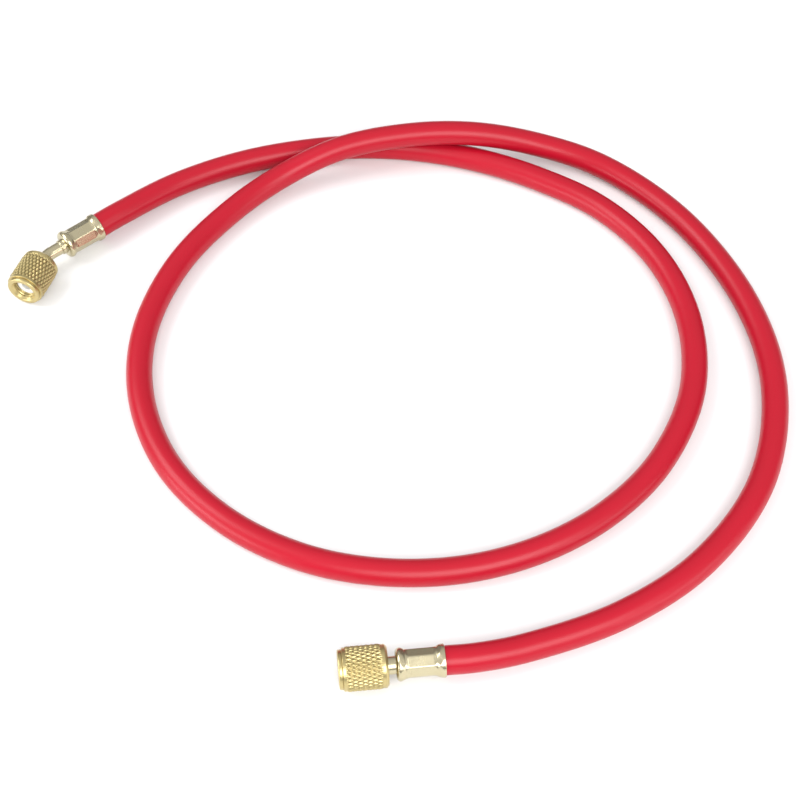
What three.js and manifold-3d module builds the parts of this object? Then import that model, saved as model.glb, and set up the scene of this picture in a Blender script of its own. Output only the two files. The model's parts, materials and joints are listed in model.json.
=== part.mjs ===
// Refrigerant charging hose, laid down in loose turns, in millimetres with +Z up.
// A rubber hose with a crimped brass fitting at each end. One fitting is straight and
// one is angled, and each carries a free-turning knurled nut with a gasket inside.
// The origin is on the floor, under the middle of the whole part's box.
import * as THREE from "three";
import { mergeVertices } from "three/addons/utils/BufferGeometryUtils.js";
import Module from "manifold-3d";

const wasm = await Module();
wasm.setup();

const DEGREE = Math.PI / 180;

// Clearance between pieces that touch on the real hose
const FIT_GAP = 0.3;

// How far a cutting shape runs past the face that it cuts
const CUT_MARGIN = 1;

// Hose
const HOSE_RADIUS = 6;
const HOSE_BORE_RADIUS = 2.5;
const HOSE_SIDES = 12;
const HOSE_BORE_SIDES = 8;
const HOSE_STEPS = 80;

// Crimped ferrule
const FERRULE_LENGTH = 20;
const FERRULE_WALL = 0.5;
const FERRULE_RING_LENGTH = 2.6;
const FERRULE_RING_EDGE = 0.4;
const FERRULE_TAPER_LENGTH = 1;
const FERRULE_END_WALL = 1;
const CRIMP_DEPTH = 1.2;
const CRIMP_FLATS = 8;

// Stem that both ends share: barbed tail, locking shoulder, neck and head
const STEM_BORE_RADIUS = 1.4;
const TAIL_START = 2;
const BARB_COUNT = 3;
const BARB_DEPTH = 0.3;
const BARB_SPACING = 4;
const SHOULDER_RADIUS = 4.7;
const SHOULDER_LENGTH = 1.6;
const NECK_RADIUS = 3.7;
const HEAD_LENGTH = 4;
const HEAD_EDGE = 0.4;

// Angled stem: the bent tube between the ferrule and the nut
const TUBE_RADIUS = 3.1;
const COLLAR_LENGTH = 2;
const TUBE_BEFORE_BEND = 4.8;
const BEND_RADIUS = 12;
const BEND_ANGLE = 30 * DEGREE;
const TUBE_AFTER_BEND = 1;
const TUBE_OVERLAP = 1.5;

// Coupling nut, with a 7/16-20 socket at its pitch radius
const NUT_RADIUS = 9;
const NUT_LENGTH = 20;
const NUT_BACK_WALL = 3;
const NUT_BACK_BAND = 2.5;
const NUT_BACK_CHAMFER = 1;
const NUT_FRONT_BAND = 1.3;
const NUT_LIP_GROOVE = 0.4;
const NUT_LIP_LENGTH = 1.4;
const NUT_LIP_DEPTH = 0.5;
const NUT_LIP_CHAMFER = 0.8;
const KNURL_DEPTH = 0.25;
const SOCKET_RADIUS = 5.1;
const MOUTH_CHAMFER = 0.7;

// Where the nuts stand on their stems
const STRAIGHT_NECK_SHOWN = 3;
const ANGLED_GASKET_DEPTH = 3.5;

// Gasket and valve core depressor
const GASKET_THICKNESS = 2.5;
const GASKET_HOLE_RADIUS = 2.5;
const GASKET_EDGE = 0.4;
const DEPRESSOR_HEAD_RADIUS = 1.9;
const DEPRESSOR_HEAD_LENGTH = 1.1;
const DEPRESSOR_NOSE_RADIUS = 0.9;
const DEPRESSOR_NOSE_LENGTH = 0.5;
const DEPRESSOR_LEG_LENGTH = 3.5;
const DEPRESSOR_LEG_THICKNESS = 0.6;

// Facets of the turned pieces
const NUT_SIDES = 32;
const TURNED_SIDES = 24;
const SMALL_SIDES = 16;

// Places of the ferrules' open ends on the floor plan, and the way that each fitting points
const ANGLED_END = { x: -137, y: 119, azimuth: -145 * DEGREE };
const STRAIGHT_END = { x: 4.5, y: -134, azimuth: 180 * DEGREE };

// The hose's way over the floor between its ends, as chosen points on its axis: x, y and,
// where it doesn't lie on the floor, its share of the lift over its own first turn
const CROSSING_GAP = 0.5;
const EXIT_STRAIGHT = 13;
const HOSE_SEAT = 1;
const HOSE_OVERLAP = 2;
const HOSE_SINK = 0.1;
const ROUTE = [
  [-98, 145.5, 0.1],
  [-66, 158.2, 0.03],
  [-35, 163.8, 0.005],
  [-4, 164.3],
  [26.5, 159],
  [56, 148.3],
  [84.5, 131.8],
  [111.4, 109.3],
  [132, 75.5],
  [139.9, 35],
  [133, -7.5],
  [110.6, -45.3],
  [83, -69.4],
  [52, -84.3],
  [18, -91],
  [-17, -88.8],
  [-50, -78],
  [-81, -56.5],
  [-105, -25],
  [-116.6, 14],
  [-114.5, 53],
  [-98, 93, 0.005],
  [-72, 124.5, 0.03],
  [-46, 143.6, 0.24],
  [-15, 154, 0.78],
  [20, 157.4, 1],
  [53, 156.4, 0.9],
  [86, 151, 0.45],
  [117, 135.8, 0.15],
  [149, 97.8, 0.02],
  [169, 43, 0.005],
  [170.6, -8],
  [153, -59],
  [119, -97, 0.002],
  [80, -119, 0.01],
  [38, -130.8, 0.1],
];

// Sizes that follow from the ones above
const ferruleRingRadius = HOSE_RADIUS + FIT_GAP + FERRULE_WALL;
const ferruleWaistRadius = ferruleRingRadius - CRIMP_DEPTH;
const ferruleInnerRing = HOSE_RADIUS + FIT_GAP;
const ferruleInnerWaist = ferruleWaistRadius - FERRULE_WALL;
const crimpedHoseRadius = ferruleInnerWaist - FIT_GAP;
const shoulderEnd = FERRULE_LENGTH - FERRULE_END_WALL - FIT_GAP;
const shoulderStart = shoulderEnd - SHOULDER_LENGTH;
const hoseEnd = shoulderStart - FIT_GAP;
const tailRadius = HOSE_BORE_RADIUS - FIT_GAP;
const headRadius = SOCKET_RADIUS - FIT_GAP;
const gasketRadius = SOCKET_RADIUS - FIT_GAP;
const bandRadius = NUT_RADIUS - KNURL_DEPTH;
const backHoleRadius = NECK_RADIUS + FIT_GAP;
const crossingLift = 2 * HOSE_RADIUS + CROSSING_GAP;
const tubeToNut = COLLAR_LENGTH + TUBE_BEFORE_BEND;

// Distances from a nut's back face to the front of its stem's head
const straightHeadFront = NUT_BACK_WALL + FIT_GAP + HEAD_LENGTH;
const angledHeadFront = NUT_LENGTH - ANGLED_GASKET_DEPTH - GASKET_THICKNESS - FIT_GAP;

const materials = {
  rubber: new THREE.MeshStandardMaterial({ color: 0xd8233f, roughness: 0.45, metalness: 0 }),
  plated: new THREE.MeshStandardMaterial({ color: 0xe4d6a8, roughness: 0.22, metalness: 1 }),
  brass: new THREE.MeshStandardMaterial({ color: 0xd8b256, roughness: 0.3, metalness: 1 }),
  nylon: new THREE.MeshStandardMaterial({ color: 0xf2f1ec, roughness: 0.5, metalness: 0 }),
};

// A closed mesh as a solid that can be joined and cut
function toSolid(geometry) {
  const bare = geometry.clone();
  bare.deleteAttribute("normal");
  bare.deleteAttribute("uv");
  const merged = mergeVertices(bare, 1e-4);
  const corners = merged.index.array;
  const kept = [];
  for (let i = 0; i < corners.length; i += 3) {
    const [a, b, c] = corners.slice(i, i + 3);
    if (a !== b && b !== c && c !== a) kept.push(a, b, c);
  }
  return new wasm.Manifold(
    new wasm.Mesh({
      numProp: 3,
      vertProperties: merged.attributes.position.array,
      triVerts: new Uint32Array(kept),
    }),
  );
}

function toGeometry(solid) {
  const mesh = solid.getMesh();
  const geometry = new THREE.BufferGeometry();
  geometry.setAttribute("position", new THREE.BufferAttribute(mesh.vertProperties, 3));
  geometry.setIndex(new THREE.BufferAttribute(mesh.triVerts, 1));
  geometry.computeVertexNormals();
  return geometry;
}

function join(...geometries) {
  return toGeometry(geometries.map(toSolid).reduce((whole, next) => whole.add(next)));
}

function cut(geometry, ...tools) {
  return toGeometry(tools.map(toSolid).reduce((whole, next) => whole.subtract(next), toSolid(geometry)));
}

// A turned piece round the Y axis, from its outline as radius and height
function turned(outline, sides = TURNED_SIDES) {
  return new THREE.LatheGeometry(outline.map(([radius, y]) => new THREE.Vector2(radius, y)), sides);
}

// A turned piece with a hole along its axis: the outline closes on itself
function turnedRing(outline, sides = TURNED_SIDES) {
  return turned([...outline, outline[0]], sides);
}

function polygon(radius, sides) {
  return Array.from({ length: sides }, (_, i) => {
    const angle = (i / sides) * 2 * Math.PI;
    return new THREE.Vector2(radius * Math.cos(angle), radius * Math.sin(angle));
  });
}

// A round bar, or with a bore a round tube, along a curve
function sweep(path, steps, radius, sides, boreRadius = 0, boreSides = 0) {
  const section = new THREE.Shape(polygon(radius, sides));
  if (boreRadius > 0) section.holes.push(new THREE.Path(polygon(boreRadius, boreSides)));
  return new THREE.ExtrudeGeometry(section, { steps, extrudePath: path });
}

// A line along +Y from a start height that bends once towards -X
class BentLine extends THREE.Curve {
  constructor(start, before, radius, angle, after) {
    super();
    Object.assign(this, { start, before, radius, angle, after });
  }

  getPoint(t, target = new THREE.Vector3()) {
    const arc = this.radius * this.angle;
    const travelled = t * (this.before + arc + this.after);
    const turn = THREE.MathUtils.clamp(travelled - this.before, 0, arc) / this.radius;
    const rest = Math.max(travelled - this.before - arc, 0);
    const straight = Math.min(travelled, this.before);
    return target.set(
      this.radius * (Math.cos(turn) - 1) - rest * Math.sin(turn),
      this.start + straight + this.radius * Math.sin(turn) + rest * Math.cos(turn),
      0,
    );
  }
}

// The crimped sleeve: a plain ring at each end and flats pressed into its waist
function ferruleGeometry() {
  const length = FERRULE_LENGTH;
  const edge = FERRULE_RING_EDGE;
  const waistStart = FERRULE_RING_LENGTH + FERRULE_TAPER_LENGTH;
  const shell = turned([
    [0, 0],
    [ferruleRingRadius - edge, 0],
    [ferruleRingRadius, edge],
    [ferruleRingRadius, FERRULE_RING_LENGTH],
    [ferruleWaistRadius, waistStart],
    [ferruleWaistRadius, length - waistStart],
    [ferruleRingRadius, length - FERRULE_RING_LENGTH],
    [ferruleRingRadius, length - edge],
    [ferruleRingRadius - edge, length],
    [0, length],
  ]);
  const flatCorner = ferruleWaistRadius / Math.cos(Math.PI / CRIMP_FLATS);
  const flats = turned(
    [
      [0, FERRULE_RING_LENGTH],
      [flatCorner, FERRULE_RING_LENGTH],
      [flatCorner, length - FERRULE_RING_LENGTH],
      [0, length - FERRULE_RING_LENGTH],
    ],
    CRIMP_FLATS,
  );
  const pocketStart = shoulderStart - FIT_GAP;
  const inside = turned([
    [0, -CUT_MARGIN],
    [ferruleInnerRing, -CUT_MARGIN],
    [ferruleInnerRing, FERRULE_RING_LENGTH],
    [ferruleInnerWaist, waistStart],
    [ferruleInnerWaist, pocketStart],
    [SHOULDER_RADIUS + FIT_GAP, pocketStart],
    [SHOULDER_RADIUS + FIT_GAP, length - FERRULE_END_WALL],
    [backHoleRadius, length - FERRULE_END_WALL],
    [backHoleRadius, length + CUT_MARGIN],
    [0, length + CUT_MARGIN],
  ]);
  return cut(join(shell, flats), inside);
}

// The barbed tail and the shoulder that the ferrule holds, as an outline from the hose side
function tailOutline() {
  const outline = [];
  for (let i = 0; i < BARB_COUNT; i += 1) {
    const y = TAIL_START + i * BARB_SPACING;
    outline.push([tailRadius - BARB_DEPTH, y], [tailRadius, y + BARB_SPACING]);
  }
  outline.push(
    [tailRadius - BARB_DEPTH, TAIL_START + BARB_COUNT * BARB_SPACING],
    [tailRadius - BARB_DEPTH, shoulderStart],
    [SHOULDER_RADIUS, shoulderStart],
    [SHOULDER_RADIUS, shoulderEnd],
    [NECK_RADIUS, shoulderEnd],
  );
  return outline;
}

// The head that holds the nut, as an outline up to its front face
function headOutline(front) {
  const back = front - HEAD_LENGTH;
  return [
    [NECK_RADIUS, back],
    [headRadius - HEAD_EDGE, back],
    [headRadius, back + HEAD_EDGE],
    [headRadius, front],
  ];
}

function straightStemGeometry() {
  const front = FERRULE_LENGTH + STRAIGHT_NECK_SHOWN + straightHeadFront;
  return turnedRing([
    [STEM_BORE_RADIUS, TAIL_START],
    ...tailOutline(),
    ...headOutline(front),
    [STEM_BORE_RADIUS, front],
  ]);
}

function angledStemGeometry(nutFrame) {
  const collarEnd = FERRULE_LENGTH + COLLAR_LENGTH;
  const tail = turned([
    [0, TAIL_START],
    ...tailOutline(),
    [NECK_RADIUS, collarEnd - HEAD_EDGE],
    [NECK_RADIUS - HEAD_EDGE, collarEnd],
    [0, collarEnd],
  ]);
  const head = turned([
    [0, FIT_GAP],
    [NECK_RADIUS, FIT_GAP],
    ...headOutline(angledHeadFront),
    [0, angledHeadFront],
  ]).applyMatrix4(nutFrame);
  const tubeStart = collarEnd - TUBE_OVERLAP;
  const tube = sweep(
    new BentLine(
      tubeStart,
      FERRULE_LENGTH + tubeToNut - tubeStart,
      BEND_RADIUS,
      BEND_ANGLE,
      TUBE_AFTER_BEND + TUBE_OVERLAP,
    ),
    SMALL_SIDES,
    TUBE_RADIUS,
    TURNED_SIDES,
  );
  const bore = sweep(
    new BentLine(
      TAIL_START - CUT_MARGIN,
      FERRULE_LENGTH + tubeToNut - TAIL_START + CUT_MARGIN,
      BEND_RADIUS,
      BEND_ANGLE,
      TUBE_AFTER_BEND + angledHeadFront + CUT_MARGIN,
    ),
    TURNED_SIDES,
    STEM_BORE_RADIUS,
    SMALL_SIDES,
  );
  return cut(join(tail, tube, head), bore);
}

// The coupling nut, from its back face to its mouth
function nutGeometry() {
  const lipRadius = bandRadius - NUT_LIP_DEPTH;
  const lipStart = NUT_LENGTH - NUT_LIP_LENGTH;
  const grooveStart = lipStart - NUT_LIP_GROOVE;
  const knurlEnd = grooveStart - NUT_FRONT_BAND;
  return turnedRing(
    [
      [backHoleRadius, 0],
      [bandRadius - NUT_BACK_CHAMFER, 0],
      [bandRadius, NUT_BACK_CHAMFER],
      [bandRadius, NUT_BACK_BAND],
      [NUT_RADIUS, NUT_BACK_BAND + KNURL_DEPTH],
      [NUT_RADIUS, knurlEnd - KNURL_DEPTH],
      [bandRadius, knurlEnd],
      [bandRadius, grooveStart],
      [lipRadius, lipStart],
      [lipRadius, NUT_LENGTH - NUT_LIP_CHAMFER],
      [lipRadius - NUT_LIP_CHAMFER, NUT_LENGTH],
      [SOCKET_RADIUS + MOUTH_CHAMFER, NUT_LENGTH],
      [SOCKET_RADIUS, NUT_LENGTH - MOUTH_CHAMFER],
      [SOCKET_RADIUS, NUT_BACK_WALL],
      [backHoleRadius, NUT_BACK_WALL],
    ],
    NUT_SIDES,
  );
}

function gasketGeometry() {
  return turnedRing([
    [GASKET_HOLE_RADIUS, 0],
    [gasketRadius, 0],
    [gasketRadius, GASKET_THICKNESS - GASKET_EDGE],
    [gasketRadius - GASKET_EDGE, GASKET_THICKNESS],
    [GASKET_HOLE_RADIUS, GASKET_THICKNESS],
  ]);
}

// The depressor: a disc with a nose on crossed legs that stand in the stem's bore
function depressorGeometry() {
  const discTop = FIT_GAP + DEPRESSOR_HEAD_LENGTH;
  const disc = turned(
    [
      [0, FIT_GAP],
      [DEPRESSOR_HEAD_RADIUS, FIT_GAP],
      [DEPRESSOR_HEAD_RADIUS, discTop],
      [DEPRESSOR_NOSE_RADIUS, discTop],
      [DEPRESSOR_NOSE_RADIUS, discTop + DEPRESSOR_NOSE_LENGTH],
      [0, discTop + DEPRESSOR_NOSE_LENGTH],
    ],
    SMALL_SIDES,
  );
  const legWidth = 2 * (STEM_BORE_RADIUS - FIT_GAP);
  const legTop = FIT_GAP + DEPRESSOR_HEAD_LENGTH / 2;
  const legHeight = DEPRESSOR_LEG_LENGTH + legTop;
  const middle = legTop - legHeight / 2;
  const legs = [
    new THREE.BoxGeometry(legWidth, legHeight, DEPRESSOR_LEG_THICKNESS),
    new THREE.BoxGeometry(DEPRESSOR_LEG_THICKNESS, legHeight, legWidth),
  ];
  return join(disc, ...legs.map((leg) => leg.translate(0, middle, 0)));
}

// The hose's end inside a ferrule, squeezed by the crimp, in that ferrule's own frame
function crimpedHoseEnd() {
  const inFull = HOSE_RADIUS * Math.cos(Math.PI / HOSE_SIDES) - HOSE_SINK;
  const squeezeEnd = FERRULE_RING_LENGTH + FERRULE_TAPER_LENGTH;
  return turnedRing(
    [
      [HOSE_BORE_RADIUS, HOSE_SEAT - HOSE_OVERLAP],
      [inFull, HOSE_SEAT - HOSE_OVERLAP],
      [inFull, HOSE_SEAT + FIT_GAP],
      [crimpedHoseRadius, squeezeEnd],
      [crimpedHoseRadius, hoseEnd],
      [HOSE_BORE_RADIUS, hoseEnd],
    ],
    TURNED_SIDES,
  );
}

// Points along a fitting's own axis, from its ferrule's open end, in the plan's frame
function onAxis(group, y) {
  return group.localToWorld(new THREE.Vector3(0, y, 0));
}

function hosePath(angledEnd, straightEnd) {
  const chosen = ROUTE.map(([x, y, share = 0]) => {
    return new THREE.Vector3(x, y, HOSE_RADIUS + share * crossingLift);
  });
  return new THREE.CatmullRomCurve3([
    onAxis(angledEnd, HOSE_SEAT),
    onAxis(angledEnd, -EXIT_STRAIGHT),
    ...chosen,
    onAxis(straightEnd, -EXIT_STRAIGHT),
    onAxis(straightEnd, HOSE_SEAT),
  ]);
}

function hoseGeometry(angledEnd, straightEnd) {
  const run = sweep(
    hosePath(angledEnd, straightEnd),
    HOSE_STEPS,
    HOSE_RADIUS,
    HOSE_SIDES,
    HOSE_BORE_RADIUS,
    HOSE_BORE_SIDES,
  );
  const ends = [angledEnd, straightEnd].map((group) => crimpedHoseEnd().applyMatrix4(group.matrixWorld));
  return join(run, ...ends);
}

function piece(name, geometry, material) {
  const mesh = new THREE.Mesh(geometry, material);
  mesh.name = name;
  return mesh;
}

// A fitting lies level at the height of its nut's radius, with its own +Y along the fitting
function fittingGroup({ x, y, azimuth }) {
  const group = new THREE.Group();
  group.position.set(x, y, NUT_RADIUS);
  group.rotation.z = azimuth - Math.PI / 2;
  group.updateMatrixWorld(true);
  return group;
}

// What sits in a nut's frame: the nut itself, and the gasket in front of the stem's head
function nutGroup(prefix, headFront) {
  const group = new THREE.Group();
  const gasket = piece(`${prefix}_gasket`, gasketGeometry(), materials.nylon);
  gasket.position.y = headFront + FIT_GAP;
  group.add(piece(`${prefix}_nut`, nutGeometry(), materials.brass), gasket);
  return group;
}

function straightFitting() {
  const fitting = fittingGroup(STRAIGHT_END);
  const nut = nutGroup("straight", straightHeadFront);
  nut.position.y = FERRULE_LENGTH + STRAIGHT_NECK_SHOWN;
  fitting.add(
    piece("straight_ferrule", ferruleGeometry(), materials.plated),
    piece("straight_stem", straightStemGeometry(), materials.plated),
    nut,
  );
  return fitting;
}

function angledFitting() {
  const fitting = fittingGroup(ANGLED_END);
  const nut = nutGroup("angled", angledHeadFront);
  const centreline = new BentLine(FERRULE_LENGTH, tubeToNut, BEND_RADIUS, BEND_ANGLE, TUBE_AFTER_BEND);
  centreline.getPoint(1, nut.position);
  nut.rotation.z = BEND_ANGLE;
  nut.updateMatrix();
  const depressor = piece("core_depressor", depressorGeometry(), materials.brass);
  depressor.position.y = angledHeadFront;
  nut.add(depressor);
  fitting.add(
    piece("angled_ferrule", ferruleGeometry(), materials.plated),
    piece("angled_stem", angledStemGeometry(nut.matrix), materials.plated),
    nut,
  );
  return fitting;
}

const laid = new THREE.Group();
const angledEnd = angledFitting();
const straightEnd = straightFitting();
laid.add(
  piece("hose_tube", hoseGeometry(angledEnd, straightEnd), materials.rubber),
  angledEnd,
  straightEnd,
);

// The middle of the part's box goes over the origin
const middle = new THREE.Box3().setFromObject(laid, true).getCenter(new THREE.Vector3());
laid.position.set(-middle.x, -middle.y, 0);

const chargingHose = new THREE.Group();
chargingHose.add(laid);

export default chargingHose;
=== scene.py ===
"""The finished look of a refrigerant charging hose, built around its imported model.

A crimson rubber hose lies in loose turns on a pale floor. A pale plated ferrule is crimped
round each of its ends, and each fitting ends in a free-turning knurled nut of yellow brass.
Lengths are in metres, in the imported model's frame, with +Z up.
"""

import json
import logging
import math
from abc import ABC, abstractmethod
from collections.abc import Sequence
from dataclasses import dataclass
from enum import Enum
from typing import Any

import bpy
import numpy as np
from mathutils import Matrix, Vector


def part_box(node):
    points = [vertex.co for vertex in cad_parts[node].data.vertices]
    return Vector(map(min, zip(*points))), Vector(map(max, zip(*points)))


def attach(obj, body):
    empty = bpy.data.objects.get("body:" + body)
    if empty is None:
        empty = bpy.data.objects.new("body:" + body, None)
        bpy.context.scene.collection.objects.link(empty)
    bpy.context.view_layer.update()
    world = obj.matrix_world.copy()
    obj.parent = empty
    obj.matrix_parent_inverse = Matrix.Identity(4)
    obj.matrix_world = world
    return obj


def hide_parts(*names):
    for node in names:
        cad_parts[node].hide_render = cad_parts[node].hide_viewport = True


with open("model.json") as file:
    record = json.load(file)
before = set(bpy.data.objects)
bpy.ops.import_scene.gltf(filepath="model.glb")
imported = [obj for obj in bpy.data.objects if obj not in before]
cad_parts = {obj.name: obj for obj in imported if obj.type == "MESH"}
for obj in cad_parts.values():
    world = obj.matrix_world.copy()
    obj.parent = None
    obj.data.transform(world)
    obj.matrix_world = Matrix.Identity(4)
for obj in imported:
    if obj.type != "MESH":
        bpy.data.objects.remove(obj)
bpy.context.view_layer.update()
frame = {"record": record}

LOG = logging.getLogger("charging_hose")
TAU = 2 * math.pi

Point = tuple[float, float, float]
Colour = tuple[float, float, float, float]
Outline = list[tuple[float, float]]


class Slot(Enum):
    """The record's material slots."""

    RUBBER = "hose_rubber"
    PLATED = "plated_brass"
    NUT = "nut_brass"
    NYLON = "gasket_nylon"
    DEPRESSOR = "depressor_brass"


# Shader expressions


class Wire:
    """An output socket that takes part in Python arithmetic."""

    def __init__(self, paint: "Paint", socket: bpy.types.NodeSocket | None) -> None:
        """Keeps the socket with the node tree that it belongs to."""
        self.paint = paint
        self.socket = socket

    def _math(self, operation: str, first: "Amount", second: "Amount") -> "Wire":
        """Adds one Math node on two values."""
        settings = {"operation": operation}
        return self.paint.node("ShaderNodeMath", settings, {0: first, 1: second})

    def __add__(self, other: "Amount") -> "Wire":
        """This value plus another."""
        return self._math("ADD", self, other)

    __radd__ = __add__

    def __sub__(self, other: "Amount") -> "Wire":
        """This value less another."""
        return self._math("SUBTRACT", self, other)

    def __rsub__(self, other: "Amount") -> "Wire":
        """Another value less this one."""
        return self._math("SUBTRACT", other, self)

    def __mul__(self, other: "Amount") -> "Wire":
        """This value times another."""
        return self._math("MULTIPLY", self, other)

    __rmul__ = __mul__


Amount = Wire | float


class Paint:
    """The node tree of a material or a world while it is being mixed."""

    def __init__(self, owner: bpy.types.Material | bpy.types.World) -> None:
        """Starts an empty tree.

        Args:
            owner: The material or world.
        """
        owner.use_nodes = True
        self.owner = owner
        self.tree = owner.node_tree
        self.tree.nodes.clear()

    def node(
        self,
        kind: str,
        settings: dict[str, Any] | None = None,
        inputs: dict[int | str, Any] | None = None,
        output: int | str = 0,
    ) -> Wire:
        """Adds a node.

        Args:
            kind: The node's type.
            settings: Its own properties; "stops" holds a ramp's positions and colours.
            inputs: Values or wires, by socket name or number.
            output: The socket that is handed on.

        Returns:
            The chosen output, which is empty for a node without outputs.
        """
        made = self.tree.nodes.new(kind)
        for key, value in (settings or {}).items():
            if key == "stops":
                set_stops(made.color_ramp, value)
            else:
                setattr(made, key, value)
        for key, value in (inputs or {}).items():
            if isinstance(value, Wire):
                self.tree.links.new(value.socket, made.inputs[key])
            else:
                made.inputs[key].default_value = value
        return Wire(self, made.outputs[output] if made.outputs else None)

    def attribute(self, name: str) -> Wire:
        """A number that the mesh stores at its corners or points."""
        return self.node("ShaderNodeAttribute", {"attribute_name": name}, output="Fac")

    def place(self) -> Wire:
        """The position in the piece's own frame, in metres."""
        return self.node("ShaderNodeTexCoord", output="Object")

    def sine(self, angle: Amount) -> Wire:
        """The sine of an angle in radians."""
        return self.node("ShaderNodeMath", {"operation": "SINE"}, {0: angle})

    def stretched(self, place: Wire, factors: Point) -> Wire:
        """A position with each axis multiplied by its own factor."""
        settings = {"operation": "MULTIPLY"}
        return self.node("ShaderNodeVectorMath", settings, {0: place, 1: factors})

    def noise(self, place: Wire, size: float, detail: float = 2.0) -> Wire:
        """Soft noise between 0 and 1.

        Args:
            place: Where it is looked up, in metres.
            size: The width of its spots.
            detail: How many finer layers it has.

        Returns:
            The noise value.
        """
        inputs = {"Vector": place, "Scale": 1 / size, "Detail": detail}
        return self.node("ShaderNodeTexNoise", inputs=inputs)

    def between(self, factor: Amount, low: Any, high: Any) -> Wire:
        """A colour between two colours.

        Args:
            factor: 0 gives low and 1 gives high.
            low: A colour or a wire.
            high: A colour or a wire.

        Returns:
            The mixed colour.
        """
        settings = {"data_type": "RGBA", "clamp_factor": True}
        return self.node("ShaderNodeMix", settings, {0: factor, 6: low, 7: high}, 2)

    def bump(self, height: Wire) -> Wire:
        """A normal that follows a height in metres."""
        inputs = {"Strength": 1.0, "Distance": 1.0, "Height": height}
        return self.node("ShaderNodeBump", inputs=inputs)

    def surface(self, inputs: dict[int | str, Any]) -> bpy.types.Material:
        """Closes the tree with its shader.

        Args:
            inputs: The shader's values and wires, by socket name.

        Returns:
            The finished material.
        """
        shader = self.node("ShaderNodeBsdfPrincipled", None, inputs)
        self.node("ShaderNodeOutputMaterial", None, {"Surface": shader})
        return self.owner


def set_stops(ramp: bpy.types.ColorRamp, stops: Sequence[tuple[float, Colour]]) -> None:
    """Gives a colour ramp its stops.

    Args:
        ramp: The ramp, which starts with two stops.
        stops: Positions and colours, in order.
    """
    while len(ramp.elements) < len(stops):
        ramp.elements.new(1.0)
    for element, (position, colour) in zip(ramp.elements, stops):
        element.position = position
        element.color = colour


# Finishes


@dataclass(frozen=True)
class RubberFinish:
    """Satin crimson rubber with the faint print of the wrap that it was cured in."""

    name: str = "crimson_rubber"
    colour: Colour = (0.395, 0.0035, 0.018, 1)
    worn_colour: Colour = (0.35, 0.0045, 0.014, 1)
    gloss: float = 0.29
    roughness: float = 0.34
    roughness_spread: float = 0.10
    rib_pitch: float = 0.00078
    rib_starts: int = 2
    thread_count: int = 44
    thread_share: float = 0.4
    rib_height: float = 0.0000060
    grain_size: float = 0.0009
    grain_height: float = 0.000010
    patch_size: float = 0.030

    def material(self, girth: float) -> bpy.types.Material:
        """Mixes the finish.

        Args:
            girth: The way round the hose, over which a whole number of threads fits.

        Returns:
            The material, which reads the mesh's "along" and "around".
        """
        paint = Paint(bpy.data.materials.new(self.name))
        along = paint.attribute("along")
        around = paint.attribute("around")
        place = paint.place()
        slant = around * (TAU * self.rib_starts / girth)
        ribs = paint.sine(along * (TAU / self.rib_pitch) + slant)
        threads = paint.sine(around * (TAU * self.thread_count / girth))
        grain = paint.noise(place, self.grain_size)
        patches = paint.noise(place, self.patch_size, detail=3.0)
        wrap = ribs * ((1 - self.thread_share) + threads * self.thread_share)
        height = wrap * self.rib_height + grain * self.grain_height
        roughness = self.roughness + (patches - 0.5) * self.roughness_spread
        return paint.surface(
            {
                "Base Color": paint.between(patches, self.colour, self.worn_colour),
                "Roughness": roughness,
                "Normal": paint.bump(height),
                "Specular IOR Level": self.gloss,
            }
        )


@dataclass(frozen=True)
class TurnedMetalFinish:
    """Turned brass, bare or plated, with fine tool marks round its axis; its deep places are darkened
    with painted shade.
    """

    name: str
    colour: Colour
    stain_and_shade_colour: Colour
    roughness: float
    roughness_spread: float = 0.08
    stain_share: float = 0.20
    groove_shade_share: float = 0.95
    mark_pitch: float = 0.00022
    mark_stretch: Point = (0.02, 1.0, 0.02)
    mark_height: float = 0.0000006
    ripple_size: float = 0.0035
    ripple_height: float = 0.000012
    patch_size: float = 0.006

    def material(self) -> bpy.types.Material:
        """Mixes the finish.

        Returns:
            The material, in which the turning axis is the piece's own Y.
        """
        paint = Paint(bpy.data.materials.new(self.name))
        place = paint.place()
        across_marks = paint.stretched(place, self.mark_stretch)
        marks = paint.noise(across_marks, self.mark_pitch, detail=1.0)
        ripple = paint.noise(place, self.ripple_size, detail=1.0)
        patches = paint.noise(place, self.patch_size, detail=3.0)
        height = marks * self.mark_height + ripple * self.ripple_height
        sink = paint.attribute("sink")
        # Painted shade: the stored depth darkens the nuts' knurl grooves and thread roots. The noise
        # patches add a random stain.
        stain_and_shade = sink * sink * sink * self.groove_shade_share + patches * self.stain_share
        roughness = self.roughness + (patches - 0.5 + sink) * self.roughness_spread
        return paint.surface(
            {
                "Base Color": paint.between(stain_and_shade, self.colour, self.stain_and_shade_colour),
                "Metallic": 1.0,
                "Roughness": roughness,
                "Normal": paint.bump(height),
            }
        )


@dataclass(frozen=True)
class NylonFinish:
    """White nylon, slightly waxy, with faint moulding flow."""

    name: str = "white_nylon"
    colour: Colour = (0.93, 0.92, 0.89, 1)
    flow_colour: Colour = (0.86, 0.85, 0.81, 1)
    roughness: float = 0.42
    roughness_spread: float = 0.12
    flow_size: float = 0.0025
    grain_size: float = 0.0003
    grain_height: float = 0.000004

    def material(self) -> bpy.types.Material:
        """Mixes the finish.

        Returns:
            The material.
        """
        paint = Paint(bpy.data.materials.new(self.name))
        place = paint.place()
        flow = paint.noise(place, self.flow_size, detail=3.0)
        grain = paint.noise(place, self.grain_size)
        return paint.surface(
            {
                "Base Color": paint.between(flow, self.colour, self.flow_colour),
                "Roughness": self.roughness + (flow - 0.5) * self.roughness_spread,
                "Normal": paint.bump(grain * self.grain_height),
            }
        )


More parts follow.
